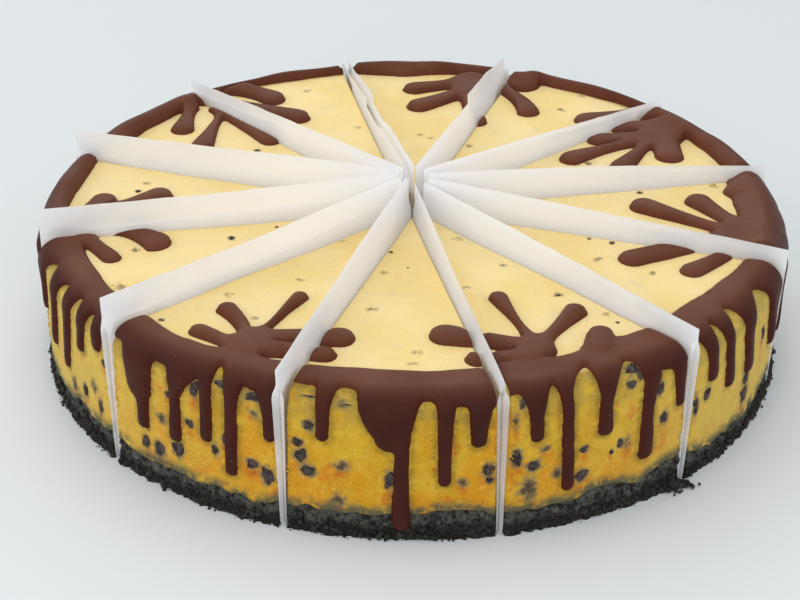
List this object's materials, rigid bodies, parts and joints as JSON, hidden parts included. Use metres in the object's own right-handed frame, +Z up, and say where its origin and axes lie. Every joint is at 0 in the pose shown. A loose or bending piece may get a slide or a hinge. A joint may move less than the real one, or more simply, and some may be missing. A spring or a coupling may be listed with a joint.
{
  "type": "baked cheesecake",
  "caption": "Round baked cheesecake cut into wedges, with a dark crumb crust, chocolate chips, a dripping chocolate coat with splashes on top, and folded papers standing in the cuts.",
  "frame": {"origin": "centre of the cake on the surface it rests on", "axes": "+Z up; the side the picture looks at faces -Y, with +X to its right"},
  "size_m": [0.2385, 0.2385, 0.0588],
  "materials": {
    "filling": "baked cream cheese filling, pale on top and golden with dark chips at the side",
    "crust": "dark chocolate crumb, rough",
    "ganache": "set chocolate ganache, satin",
    "paper": "thin white baking paper, folded"
  },
  "bodies": {
    "root": {"crust_a": "crust", "crust_b": "crust", "crust_c": "crust", "crust_d": "crust", "crust_e": "crust", "crust_f": "crust", "crust_g": "crust", "crust_h": "crust", "crust_i": "crust", "crust_j": "crust", "crust_k": "crust", "crust_l": "crust", "filling_a": "filling", "filling_b": "filling", "filling_c": "filling", "filling_d": "filling", "filling_e": "filling", "filling_f": "filling", "filling_g": "filling", "filling_h": "filling", "filling_i": "filling", "filling_j": "filling", "filling_k": "filling", "filling_l": "filling", "ganache_a": "ganache", "ganache_b": "ganache", "ganache_c": "ganache", "ganache_d": "ganache", "ganache_e": "ganache", "ganache_f": "ganache", "ganache_g": "ganache", "ganache_h": "ganache", "ganache_i": "ganache", "ganache_j": "ganache", "ganache_k": "ganache", "ganache_l": "ganache", "paper_1": "paper", "paper_10": "paper", "paper_11": "paper", "paper_12": "paper", "paper_2": "paper", "paper_3": "paper", "paper_4": "paper", "paper_5": "paper", "paper_6": "paper", "paper_7": "paper", "paper_8": "paper", "paper_9": "paper", "splash_a_1": "ganache", "splash_a_2": "ganache", "splash_a_3": "ganache", "splash_a_4": "ganache", "splash_c_1": "ganache", "splash_c_2": "ganache", "splash_f_1": "ganache", "splash_f_2": "ganache", "splash_f_3": "ganache", "splash_i_1": "ganache"}
  },
  "joints": []
}
